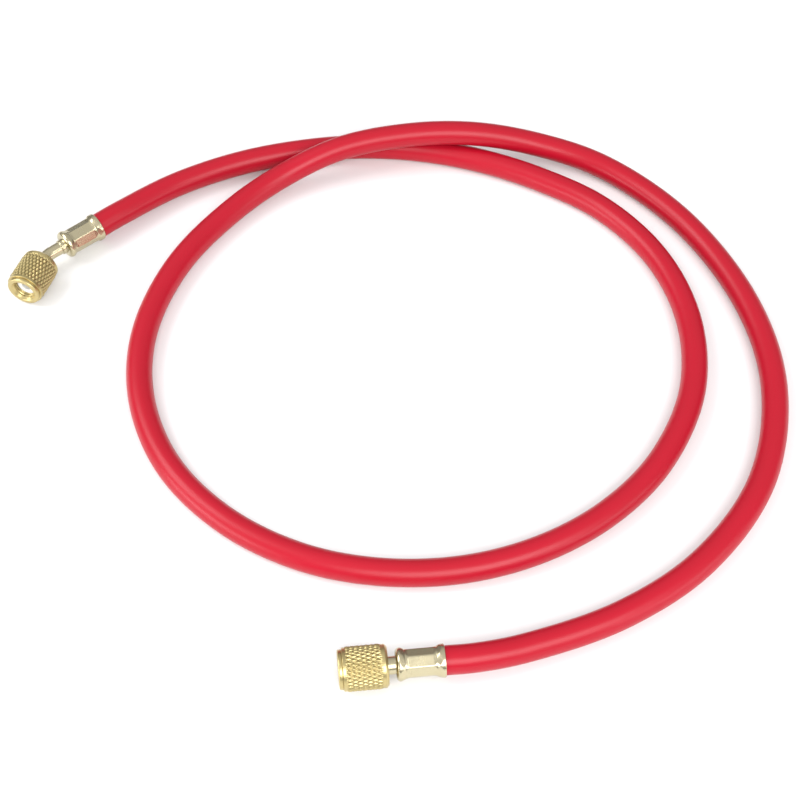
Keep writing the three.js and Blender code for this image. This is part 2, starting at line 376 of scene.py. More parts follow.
@dataclass(frozen=True)
class FloorFinish:
    """Plain pale floor."""

    name: str = "pale_floor"
    colour: Colour = (0.80, 0.80, 0.80, 1)
    cloud_colour: Colour = (0.78, 0.78, 0.78, 1)
    roughness: float = 0.6
    cloud_size: float = 0.5

    def material(self) -> bpy.types.Material:
        """Mixes the finish.

        Returns:
            The material.
        """
        paint = Paint(bpy.data.materials.new(self.name))
        clouds = paint.noise(paint.place(), self.cloud_size)
        colour = paint.between(clouds, self.colour, self.cloud_colour)
        return paint.surface({"Base Color": colour, "Roughness": self.roughness})


PLATED = TurnedMetalFinish(
    name="pale_plating",
    colour=(0.57, 0.51, 0.34, 1),
    stain_and_shade_colour=(0.42, 0.36, 0.20, 1),
    roughness=0.26,
)
YELLOW_BRASS = TurnedMetalFinish(
    name="yellow_brass",
    colour=(0.58, 0.475, 0.225, 1),
    # Near black: in the nuts' grooves and thread roots this colour is painted shade, elsewhere a faint
    # random stain.
    stain_and_shade_colour=(0.08, 0.05, 0.010, 1),
    roughness=0.34,
    roughness_spread=0.10,
)
# The pin's plating is painted almost black: painted shade standing for the dark hole in the gasket
# round it.
PIN_PLATE_PAINTED_SHADE = TurnedMetalFinish(
    name="pin_plate_painted_shade",
    colour=(0.11, 0.105, 0.085, 1),
    stain_and_shade_colour=(0.07, 0.065, 0.05, 1),
    roughness=0.34,
    mark_pitch=0.0001,
)


# Outlines and meshes


@dataclass(frozen=True)
class Corner:
    """A corner of a turned outline, with the radius that rounds it."""

    radius: float
    height: float
    fillet: float = 0.0


FILLET_STEPS = 5
FILLET_REACH = 0.45  # the most of a side that a fillet takes
GUARD = 0.00003
GUARD_REACH = 0.04  # the most of a side that a guard point stands off
SHARP_EDGE = 0.0001
BROKEN_EDGE = 0.0002
SOFT_EDGE = 0.0003


def rounded(corners: Sequence[Corner], closed: bool = True) -> Outline:
    """Rounds an outline's corners, with a guard point beside each arc to keep flats flat.

    Args:
        corners: The corners in order.
        closed: Whether the last corner joins the first.

    Returns:
        The outline's points as radius and height.
    """
    points: Outline = []
    count = len(corners)
    for index, corner in enumerate(corners):
        here = Vector((corner.radius, corner.height))
        is_end = not closed and index in (0, count - 1)
        if corner.fillet <= 0 or is_end:
            points.append(tuple(here))
            continue
        before, after = corners[index - 1], corners[(index + 1) % count]
        back = Vector((before.radius, before.height)) - here
        ahead = Vector((after.radius, after.height)) - here
        points.extend(fillet_points(here, back, ahead, corner.fillet))
    return points


def fillet_points(here: Vector, back: Vector, ahead: Vector, fillet: float) -> Outline:
    """The points that round one corner.

    Args:
        here: The corner.
        back: The way from it to the corner before.
        ahead: The way from it to the corner after.
        fillet: The wanted radius, which the shorter side limits.

    Returns:
        A guard point, the arc and another guard point.
    """
    half = back.angle(ahead) / 2
    shorter = min(back.length, ahead.length)
    reach = min(fillet / math.tan(half), FILLET_REACH * shorter)
    guard = min(GUARD, GUARD_REACH * shorter)
    back_way, ahead_way = back.normalized(), ahead.normalized()
    middle = here + (back_way + ahead_way).normalized() * (reach / math.cos(half))
    start = here + back_way * reach - middle
    end = here + ahead_way * reach - middle
    turn = end.angle_signed(start)
    arc = []
    for step in range(FILLET_STEPS + 1):
        spoke = Matrix.Rotation(turn * step / FILLET_STEPS, 2) @ start
        arc.append(tuple(middle + spoke))
    first = tuple(here + back_way * (reach + guard))
    last = tuple(here + ahead_way * (reach + guard))
    return [first, *arc, last]


def divided(outline: Outline, step: float, closed: bool = True) -> Outline:
    """Adds points so that no side of an outline is longer than a step.

    Args:
        outline: The points.
        step: The longest side.
        closed: Whether the last point joins the first.

    Returns:
        The denser outline.
    """
    ends = outline[1:] + outline[:1] if closed else outline[1:]
    dense: Outline = []
    for start, end in zip(outline, ends):
        length = math.hypot(end[0] - start[0], end[1] - start[1])
        parts = max(1, math.ceil(length / step))
        for part in range(parts):
            share = part / parts
            dense.append(tuple(a + (b - a) * share for a, b in zip(start, end)))
    return dense if closed else [*dense, outline[-1]]


@dataclass(frozen=True)
class TurningLine:
    """The line that a turned piece follows: +Y, with at most one bend towards -X."""

    bend_start: float = 0.0
    bend_radius: float = 1.0
    bend_angle: float = 0.0

    @property
    def bend_end(self) -> float:
        """The distance along the line at which the bend ends."""
        return self.bend_start + self.bend_radius * self.bend_angle

    def rings(self, radii: np.ndarray, heights: np.ndarray) -> np.ndarray:
        """Circles of points round the line.

        Args:
            radii: A radius for each row and side.
            heights: A distance along the line for each row.

        Returns:
            The points, by row and side.
        """
        arc = self.bend_end - self.bend_start
        turn = np.clip(heights - self.bend_start, 0, arc) / self.bend_radius
        rest = np.maximum(heights - self.bend_end, 0)
        straight = np.minimum(heights, self.bend_start)
        middle_x = self.bend_radius * (np.cos(turn) - 1) - rest * np.sin(turn)
        middle_y = straight + self.bend_radius * np.sin(turn) + rest * np.cos(turn)
        angles = np.linspace(0, TAU, radii.shape[1], endpoint=False)
        sideways = radii * np.cos(angles)
        x = middle_x[:, None] + sideways * np.cos(turn)[:, None]
        y = middle_y[:, None] + sideways * np.sin(turn)[:, None]
        return np.stack([x, y, radii * np.sin(angles)], axis=-1)

    def end_frame(self, distance: float) -> Matrix:
        """The frame at a distance past the bend.

        Args:
            distance: The distance along the line.

        Returns:
            The frame, with +Y along the line.
        """
        arc_x = self.bend_radius * (math.cos(self.bend_angle) - 1)
        arc_y = self.bend_start + self.bend_radius * math.sin(self.bend_angle)
        rest = distance - self.bend_end
        x = arc_x - rest * math.sin(self.bend_angle)
        y = arc_y + rest * math.cos(self.bend_angle)
        return Matrix.Translation((x, y, 0)) @ Matrix.Rotation(self.bend_angle, 4, "Z")


def even_radii(outline: Outline, sides: int) -> tuple[np.ndarray, np.ndarray]:
    """The rows of a round piece.

    Args:
        outline: The points as radius and height.
        sides: The points round each row.

    Returns:
        A radius for each row and side, and a height for each row.
    """
    points = np.array(outline)
    return np.repeat(points[:, :1], sides, axis=1), points[:, 1]


def skin(
    name: str, rings: np.ndarray, sink: np.ndarray | None = None, closed: bool = True
) -> bpy.types.Object:
    """Joins rows of points to one closed surface that faces out.

    Args:
        name: The object's name.
        rings: The points, by row and side.
        sink: How deep each point lies, from 0 to 1. The facets then fold along the deep lines.
        closed: Whether the last row joins the first. Otherwise both are capped.

    Returns:
        The new object.
    """
    rows, sides = rings.shape[:2]
    index = np.arange(rows * sides).reshape(rows, sides)
    lower = index if closed else index[:-1]
    upper = np.roll(index, -1, axis=0) if closed else index[1:]
    corners = [lower, np.roll(lower, -1, axis=1), np.roll(upper, -1, axis=1), upper]
    a, b, c, d = (corner.ravel() for corner in corners)
    if sink is None:
        faces = np.stack([a, b, c, d], axis=1)
    else:
        deep = sink.ravel()
        fold = (deep[a] + deep[c] >= deep[b] + deep[d])[:, None]
        first = np.where(fold, np.stack([a, b, c], axis=1), np.stack([a, b, d], axis=1))
        second = np.where(fold, np.stack([a, c, d], axis=1), np.stack([b, c, d], axis=1))
        faces = np.concatenate([first, second])
    points = rings.reshape(-1, 3)
    fan = points[faces]
    volume = np.einsum("ij,ij->", fan[:, 0], np.cross(fan[:, 1], fan[:, 2]))
    if sink is None:
        volume += np.einsum("ij,ij->", fan[:, 0], np.cross(fan[:, 2], fan[:, 3]))
    faces = faces[:, ::-1] if volume < 0 else faces
    listed = faces.tolist()
    if not closed:
        caps = [index[0][::-1].tolist(), index[-1].tolist()]
        listed += [cap[::-1] for cap in caps] if volume < 0 else caps
    mesh = bpy.data.meshes.new(name)
    mesh.from_pydata(points.tolist(), [], listed)
    mesh.shade_smooth()
    depth = np.zeros(len(points)) if sink is None else sink.ravel()
    # The stored depth is what the metal finishes darken as painted shade.
    stored = mesh.attributes.new("sink", "FLOAT", "POINT")
    stored.data.foreach_set("value", depth.astype(np.float32))
    made = bpy.data.objects.new(name, mesh)
    bpy.context.scene.collection.objects.link(made)
    return made


def body_of_node(node: str) -> str:
    """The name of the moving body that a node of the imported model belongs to."""
    bodies = frame["record"]["behaviour"]["bodies"]
    return next(name for name, members in bodies.items() if node in members)


def stand_for(
    piece: bpy.types.Object, node: str, material: bpy.types.Material, place: Matrix
) -> None:
    """Dresses a piece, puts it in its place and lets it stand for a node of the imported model.

    Args:
        piece: The new piece.
        node: The node that it stands for.
        material: Its finish.
        place: Its frame.
    """
    piece.data.materials.append(material)
    piece.matrix_world = place
    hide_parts(node)
    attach(piece, body_of_node(node))
    LOG.info("%s stands for %s, with %d faces", piece.name, node, len(piece.data.polygons))


# Pieces of a fitting


FERRULE_LENGTH = 0.020
FIT_GAP = 0.0003
Rows = tuple[np.ndarray, np.ndarray, np.ndarray | None]


class TurnedPiece(ABC):
    """A piece that is built as rows of points round its line."""

    line: TurningLine = TurningLine()
    is_closed: bool = True

    @abstractmethod
    def rows(self) -> Rows:
        """The radii and heights of its rows, and how deep its points lie where that matters."""

    def build(self, name: str) -> bpy.types.Object:
        """Makes the piece.

        Args:
            name: The piece's name.

        Returns:
            The new piece, with +Y from the hose's side to the free end.
        """
        radii, heights, sink = self.rows()
        return skin(name, self.line.rings(radii, heights), sink, self.is_closed)


@dataclass(frozen=True)
class Ferrule(TurnedPiece):
    """The crimped sleeve: a ring at the hose's side, flats on its waist and a bead at its neck."""

    length: float = FERRULE_LENGTH
    ring_radius: float = 0.0068
    ring_length: float = 0.0023
    ring_edge: float = 0.00045
    ring_foot: float = 0.0004
    waist_radius: float = 0.00604
    waist_start: float = 0.0034
    waist_edge: float = 0.0005
    flat_radius: float = 0.0056
    flat_start: float = 0.0046
    flat_end: float = 0.0150
    flat_rise: float = 0.36
    flat_count: int = 8
    bead_middle: float = 0.01810
    bead_radius: float = 0.00170
    bead_slope: float = 0.0019
    bead_power: float = 2.3
    bead_sweep: float = 74.0
    bead_steps: int = 12
    mouth_radius: float = 0.00608
    mouth_bevel: float = 0.0004
    wall: float = 0.0005
    neck_hole: float = 0.00378
    neck_edge: float = 0.00008
    end_face: float = 0.0008
    end_wall: float = 0.0010
    shoulder_radius: float = 0.0050
    shoulder_start: float = 0.0168
    blend: float = 0.00010
    sides: int = 192
    step: float = 0.00035

    def outer(self) -> Outline:
        """The outside from the mouth to the neck, before the flats are pressed.

        Returns:
            The outline's points.
        """
        ring, waist = self.ring_radius, self.waist_radius
        bead_start = self.bead_middle - self.bead_slope
        body = rounded(
            [
                Corner(self.mouth_radius, self.mouth_bevel),
                Corner(self.mouth_radius + SHARP_EDGE, 0.0, SHARP_EDGE),
                Corner(ring, 0.0, self.ring_edge),
                Corner(ring, self.ring_length, self.ring_foot),
                Corner(waist, self.waist_start, self.waist_edge),
                Corner(waist, bead_start),
            ],
            closed=False,
        )
        bead: Outline = []
        for step in range(1, self.bead_steps + 1):
            to_go = 1 - step / self.bead_steps
            radius = ring - (ring - waist) * to_go**self.bead_power
            bead.append((radius, self.bead_middle - self.bead_slope * to_go))
        for step in range(1, self.bead_steps + 1):
            angle = math.radians(90 - self.bead_sweep * step / self.bead_steps)
            radius = ring - self.bead_radius * (1 - math.sin(angle))
            bead.append((radius, self.bead_middle + self.bead_radius * math.cos(angle)))
        return divided(body, self.step, closed=False) + bead

    def inner(self) -> Outline:
        """The end face and the inside, from the neck back to the mouth.

        Returns:
            The outline's points.
        """
        shell = self.flat_radius - self.wall
        front = self.length - SHARP_EDGE
        pocket_end = self.length - self.end_wall
        return rounded(
            [
                Corner(self.neck_hole + self.end_face, front),
                Corner(self.neck_hole, front, self.neck_edge),
                Corner(self.neck_hole, pocket_end),
                Corner(self.shoulder_radius, pocket_end, SHARP_EDGE),
                Corner(self.shoulder_radius, self.shoulder_start),
                Corner(shell, self.shoulder_start),
                Corner(shell, self.waist_start + self.ring_foot, SOFT_EDGE),
                Corner(self.mouth_radius, self.ring_length, SOFT_EDGE),
                Corner(self.mouth_radius, self.mouth_bevel + SHARP_EDGE),
            ],
            closed=False,
        )

    def pressed(self, radii: np.ndarray, heights: np.ndarray) -> np.ndarray:
        """The outside after the crimp has pressed its flats.

        Args:
            radii: The round radius, for each row and side.
            heights: The height of each row.

        Returns:
            The pressed radii.
        """
        pitch = TAU / self.flat_count
        angles = np.linspace(0, TAU, radii.shape[1], endpoint=False)
        off_middle = angles % pitch - pitch / 2
        run_out = np.maximum(np.maximum(self.flat_start - heights, heights - self.flat_end), 0)
        flats = self.flat_radius / np.cos(off_middle) + self.flat_rise * run_out[:, None]
        share = np.clip(0.5 + (radii - flats) / (2 * self.blend), 0, 1)
        return radii * (1 - share) + flats * share - self.blend * share * (1 - share)

    def rows(self) -> Rows:
        """The sleeve's rows.

        Returns:
            The radii and the heights.
        """
        outer_radii, outer_heights = even_radii(self.outer(), self.sides)
        inner_radii, inner_heights = even_radii(self.inner(), self.sides)
        radii = np.concatenate([self.pressed(outer_radii, outer_heights), inner_radii])
        return radii, np.concatenate([outer_heights, inner_heights]), None


@dataclass(frozen=True)
class Stem(TurnedPiece):
    """The barbed stem: a tail in the hose, a shoulder in the ferrule, a neck and a head in the nut."""

    neck_end: float
    head_front: float
    line: TurningLine = TurningLine()
    collar_end: float = 0.0
    collar_gap: float = 0.00005
    collar_edge: float = 0.0006
    tube_radius: float = 0.0031
    bore_radius: float = 0.0014
    tail_start: float = 0.002
    tail_radius: float = 0.0022
    barb_count: int = 3
    barb_depth: float = 0.0003
    barb_spacing: float = 0.004
    barb_edge: float = 0.00005
    shoulder_radius: float = 0.0047
    shoulder_start: float = 0.0171
    shoulder_end: float = 0.0187
    neck_radius: float = 0.0037
    collar_radius: float = 0.00362
    head_radius: float = 0.0048
    head_length: float = 0.004
    edge: float = 0.0004
    sides: int = 96
    step: float = 0.0005

    def tail(self) -> list[Corner]:
        """The barbs and the shoulder, from the hose's side.

        Returns:
            The corners of that part of the outline.
        """
        root = self.tail_radius - self.barb_depth
        corners = [Corner(self.bore_radius, self.tail_start, SHARP_EDGE)]
        for barb in range(self.barb_count):
            start = self.tail_start + barb * self.barb_spacing
            corners.append(Corner(root, start, SHARP_EDGE))
            corners.append(Corner(self.tail_radius, start + self.barb_spacing, self.barb_edge))
        return corners + [
            Corner(root, self.tail_start + self.barb_count * self.barb_spacing),
            Corner(root, self.shoulder_start, BROKEN_EDGE),
            Corner(self.shoulder_radius, self.shoulder_start, BROKEN_EDGE),
            Corner(self.shoulder_radius, self.shoulder_end, BROKEN_EDGE),
            Corner(self.neck_radius, self.shoulder_end),
        ]

    def collar_and_tube(self) -> list[Corner]:
        """On the angled stem, the small collar against the ferrule and the thinner tube.

        Returns:
            The corners of that part of the outline, none on a straight stem.
        """
        if self.collar_end == 0:
            return []
        return [
            Corner(self.neck_radius, FERRULE_LENGTH),
            Corner(self.collar_radius, FERRULE_LENGTH + self.collar_gap, BROKEN_EDGE),
            Corner(self.collar_radius, self.collar_end, self.collar_edge),
            Corner(self.tube_radius, self.collar_end + BROKEN_EDGE, BROKEN_EDGE),
            Corner(self.tube_radius, self.neck_end, BROKEN_EDGE),
            Corner(self.neck_radius, self.neck_end + BROKEN_EDGE, BROKEN_EDGE),
        ]

    def rows(self) -> Rows:
        """The stem's rows.

        Returns:
            The radii and the heights.
        """
        head_back = self.head_front - self.head_length
        corners = self.tail() + self.collar_and_tube()
        corners += [
            Corner(self.neck_radius, head_back, BROKEN_EDGE),
            Corner(self.head_radius, head_back, self.edge),
            Corner(self.head_radius, self.head_front, self.edge / 2),
            Corner(self.bore_radius, self.head_front, BROKEN_EDGE),
        ]
        return *even_radii(divided(rounded(corners), self.step), self.sides), None


@dataclass(frozen=True)
class CouplingNut(TurnedPiece):
    """The knurled nut, from its back face to its mouth, with the thread in its socket."""

    length: float = 0.020
    crest_radius: float = 0.009
    band_radius: float = 0.00875
    hole_radius: float = 0.0040
    hole_shares: tuple[float, float] = (0.5, 0.6)
    back_chamfer: float = 0.0010
    back_edge: float = 0.0005
    knurl_start: float = 0.0025
    knurl_end: float = 0.0169
    knurl_count: int = 30
    knurl_pitch: float = 0.00395
    knurl_depth: float = 0.00052
    knurl_groove_share: float = 0.78
    knurl_shares: tuple[float, float] = (0.45, 0.55)
    knurl_fade: float = 0.0004
    groove_start: float = 0.0181
    groove_radius: float = 0.00792
    groove_edge: float = 0.00015
    lip_start: float = 0.0184
    lip_radius: float = 0.0081
    lip_edge: float = 0.0009
    mouth_radius: float = 0.0061
    mouth_edge: float = 0.0006
    mouth_depth: float = 0.0012
    thread_radius: float = 0.00495
    thread_depth: float = 0.00058
    thread_pitch: float = 0.00127
    thread_start: float = 0.0050
    thread_set_back: float = 0.0003
    thread_run_in: float = 0.6
    thread_shade: float = 0.8
    relief_radius: float = 0.0055
    back_wall: float = 0.003
    cell_steps: int = 12
    thread_steps: int = 10

    @property
    def sides(self) -> int:
        """The points round each row: a whole number for each knurl groove."""
        return self.knurl_count * self.cell_steps

    @property
    def thread_top(self) -> float:
        """The height at which the mouth has narrowed to the thread."""
        return self.length - self.mouth_depth

    def back(self) -> Outline:
        """The back face and the plain band behind the knurl.

        Returns:
            The outline's points.
        """
        corners = [
            Corner(self.hole_radius, self.back_wall * self.hole_shares[0]),
            Corner(self.hole_radius, 0, BROKEN_EDGE),
            Corner(self.band_radius - self.back_chamfer, 0, SOFT_EDGE),
            Corner(self.band_radius, self.back_chamfer, self.back_edge),
            Corner(self.band_radius, self.knurl_start),
        ]
        return rounded(corners, closed=False)

    def front(self) -> Outline:
        """The plain band, the groove, the lip and the countersunk mouth.

        Returns:
            The outline's points.
        """
        corners = [
            Corner(self.band_radius, self.knurl_end),
            Corner(self.band_radius, self.groove_start, self.groove_edge),
            Corner(self.groove_radius, self.groove_start + self.groove_edge, SHARP_EDGE),
            Corner(self.groove_radius, self.lip_start - SHARP_EDGE, SHARP_EDGE),
            Corner(self.lip_radius, self.lip_start, SHARP_EDGE),
            Corner(self.lip_radius, self.length, self.lip_edge),
            Corner(self.mouth_radius, self.length, self.mouth_edge),
            Corner(self.thread_radius, self.thread_top, SHARP_EDGE),
            Corner(self.thread_radius, self.thread_top - BROKEN_EDGE),
        ]
        return rounded(corners, closed=False)

    def inside(self) -> Outline:
        """The relief under the thread and the inner face of the back wall.

        Returns:
            The outline's points.
        """
        corners = [
            Corner(self.relief_radius, self.thread_start - BROKEN_EDGE),
            Corner(self.relief_radius, self.back_wall, BROKEN_EDGE),
            Corner(self.hole_radius, self.back_wall, BROKEN_EDGE),
            Corner(self.hole_radius, self.back_wall * self.hole_shares[1]),
        ]
        return rounded(corners, closed=False)

    def groove(self, turns: np.ndarray) -> np.ndarray:
        """The depth of one family of V grooves, from 0 on a land to 1 in a groove.

        Args:
            turns: The place across the grooves, counted in grooves.

        Returns:
            The softened depth.
        """
        straight, soft = self.knurl_shares
        to_groove = np.abs(turns % 1 - 0.5) * 2
        share = self.knurl_groove_share
        ramp = np.clip((to_groove - 1 + share) / share, 0, 1)
        return straight * ramp + soft * ramp * ramp * (3 - 2 * ramp)

    def knurl(self) -> Rows:
        """The rows of the knurled band.

        Returns:
            The radii, the heights and how deep each point lies.
        """
        step = self.knurl_pitch / self.cell_steps
        heights = np.arange(self.knurl_start + step / 2, self.knurl_end, step)
        around = np.arange(self.sides)[None, :] / self.cell_steps
        along = heights[:, None] / self.knurl_pitch
        left, right = self.groove(around + along), self.groove(around - along)
        to_edge = np.minimum(heights - self.knurl_start, self.knurl_end - heights)
        fade = np.clip(to_edge / self.knurl_fade, 0, 1)[:, None]
        carved = self.crest_radius - self.knurl_depth * np.maximum(left, right)
        radii = self.band_radius + (carved - self.band_radius) * fade
        # This depth also darkens the knurl's grooves as painted shade.
        return radii, heights, (left + right) / 2 * fade

    def thread(self) -> Rows:
        """The rows of the threaded socket, from the mouth down.

        Returns:
            The radii, the heights and how deep each point lies.
        """
        top = self.thread_top - self.thread_set_back
        step = self.thread_pitch / self.thread_steps
        heights = np.arange(top, self.thread_start, -step)
        around = np.arange(self.sides)[None, :] / self.sides
        turns = heights[:, None] / self.thread_pitch - around
        wave = 0.5 - 0.5 * np.cos(TAU * turns)
        run_in = self.thread_pitch * self.thread_run_in
        fade = np.clip((top - heights) / run_in, 0, 1)[:, None]
        radii = self.thread_radius + self.thread_depth * wave * fade
        # The thread's depth, scaled here, darkens its roots as painted shade.
        return radii, heights, self.thread_shade * wave * fade

    def rows(self) -> Rows:
        """The nut's rows, from its back face over its outside and back through its socket.

        Returns:
            The radii, the heights and how deep each point lies.
        """
        rows = []
        for part in (self.back(), self.knurl(), self.front(), self.thread(), self.inside()):
            if isinstance(part, list):
                radii, heights = even_radii(part, self.sides)
                part = (radii, heights, np.zeros_like(radii))
            rows.append(part)
        return tuple(np.concatenate(column) for column in zip(*rows))


@dataclass(frozen=True)
class Gasket(TurnedPiece):
    """The nylon ring that seals the nut against its port."""

    radius: float = 0.0048
    hole_radius: float = 0.0025
    thickness: float = 0.0025
    edge: float = 0.00045
    side_steps: int = 4
    sides: int = 96

    def rows(self) -> Rows:
        """The ring's rows.

        Returns:
            The radii and the heights.
        """
        corners = [
            Corner(self.hole_radius, 0, self.edge / 2),
            Corner(self.radius, 0, self.edge / 2),
            Corner(self.radius, self.thickness, self.edge),
            Corner(self.hole_radius, self.thickness, self.edge),
        ]
        outline = divided(rounded(corners), self.thickness / self.side_steps)
        return *even_radii(outline, self.sides), None


@dataclass(frozen=True)
class CoreDepressor(TurnedPiece):
    """The small disc that pushes a valve core open, on crossed legs in the stem's bore."""

    is_closed = False
    seat: float = FIT_GAP
    disc_radius: float = 0.0019
    disc_length: float = 0.0011
    nose_radius: float = 0.0009
    nose_length: float = 0.0005
    leg_length: float = 0.0035
    leg_reach: float = 0.0011
    leg_half: float = 0.0003
    leg_upper_row: float = 0.0005
    toe_share: float = 0.9
    tip_radius: float = 0.00002
    sides: int = 96

    def legs(self) -> np.ndarray:
        """The reach of the crossed legs at each side.

        Returns:
            The radii of one row.
        """
        angles = np.linspace(0, TAU, self.sides, endpoint=False)
        widths = [np.maximum(np.abs(turn(angles)), 1e-9) for turn in (np.sin, np.cos)]
        one, other = (np.minimum(self.leg_reach, self.leg_half / width) for width in widths)
        return np.maximum(one, other)

    def rows(self) -> Rows:
        """The depressor's rows, from its legs to its nose.

        Returns:
            The radii and the heights.
        """
        top = self.seat + self.disc_length
        toe = -self.leg_length
        leg_rows = [toe, toe + SHARP_EDGE, -self.leg_upper_row, self.seat - GUARD]
        leg_radii = np.array([self.legs() * share for share in (self.toe_share, 1.0, 1.0, 1.0)])
        disc = rounded(
            [
                Corner(self.leg_reach, self.seat),
                Corner(self.disc_radius, self.seat, BROKEN_EDGE),
                Corner(self.disc_radius, top, SOFT_EDGE),
                Corner(self.nose_radius, top, BROKEN_EDGE),
                Corner(self.nose_radius, top + self.nose_length, SOFT_EDGE),
                Corner(self.tip_radius, top + self.nose_length),
            ],
            closed=False,
        )
        radii, heights = even_radii(disc, self.sides)
        return np.concatenate([leg_radii, radii]), np.concatenate([leg_rows, heights]), None


@dataclass(frozen=True)
class Fitting:
    """One end of the hose: its ferrule, stem, nut and gasket, laid level on the nut's rim."""

    prefix: str
    frame: Matrix
    nut_frame: Matrix
    stem: Stem
    gasket_seat: float
    has_depressor: bool = False

    def build(self) -> list[bpy.types.Object]:
        """Makes and dresses the fitting's pieces.

        Returns:
            The pieces.
        """
        ferrule = Ferrule().build(f"{self.prefix}_crimped_sleeve")
        stem = self.stem.build(f"{self.prefix}_barbed_stem")
        nut = CouplingNut().build(f"{self.prefix}_coupling_nut")
        gasket = Gasket().build(f"{self.prefix}_sealing_ring")
        pieces = [ferrule, stem, nut, gasket]
        self.dress(pieces)
        if self.has_depressor:
            depressor = CoreDepressor().build("core_pin")
            seat = self.nut_frame @ Matrix.Translation((0, self.gasket_seat - FIT_GAP, 0))
            stand_for(depressor, "core_depressor", PIN_PLATE_PAINTED_SHADE.material(), seat)
            pieces.append(depressor)
        return pieces

    def dress(self, pieces: Sequence[bpy.types.Object]) -> None:
        """Gives the first four pieces their finishes and places.

        Args:
            pieces: The ferrule, the stem, the nut and the gasket.
        """
        gasket_frame = self.nut_frame @ Matrix.Translation((0, self.gasket_seat, 0))
        dresses = (
            ("ferrule", Slot.PLATED, PLATED, self.frame),
            ("stem", Slot.PLATED, PLATED, self.frame),
            ("nut", Slot.NUT, YELLOW_BRASS, self.nut_frame),
            ("gasket", Slot.NYLON, NylonFinish(), gasket_frame),
        )
        for piece, (node, slot, finish, place) in zip(pieces, dresses):
            stand_for(piece, f"{self.prefix}_{node}", finish.material(), place)


# The hose


@dataclass(frozen=True)
class FloorPlan:
    """Where the two fittings lie and the way that the hose takes between them."""

    nut_radius: float = 0.009
    angled_end: Point = (-0.137, 0.119, -145.0)
    straight_end: Point = (0.0045, -0.134, 180.0)

    def offset(self) -> Vector:
        """The way from the plan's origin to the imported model's, found from one ferrule.

        Returns:
            The offset.
        """
        low, high = (Vector(corner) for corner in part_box("straight_ferrule"))
        x, y, _ = self.straight_end
        planned = Vector((x - FERRULE_LENGTH / 2, y, self.nut_radius))
        return (low + high) / 2 - planned

    def fitting_frame(self, end: Point) -> Matrix:
        """A fitting's frame, with +Y along it from the ferrule's open end.

        Args:
            end: The open end's x and y, and the azimuth of the fitting in degrees.

        Returns:
            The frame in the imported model.
        """
        x, y, azimuth = end
        turn = Matrix.Rotation(math.radians(azimuth - 90), 4, "Z")
        return Matrix.Translation(self.offset() + Vector((x, y, self.nut_radius))) @ turn


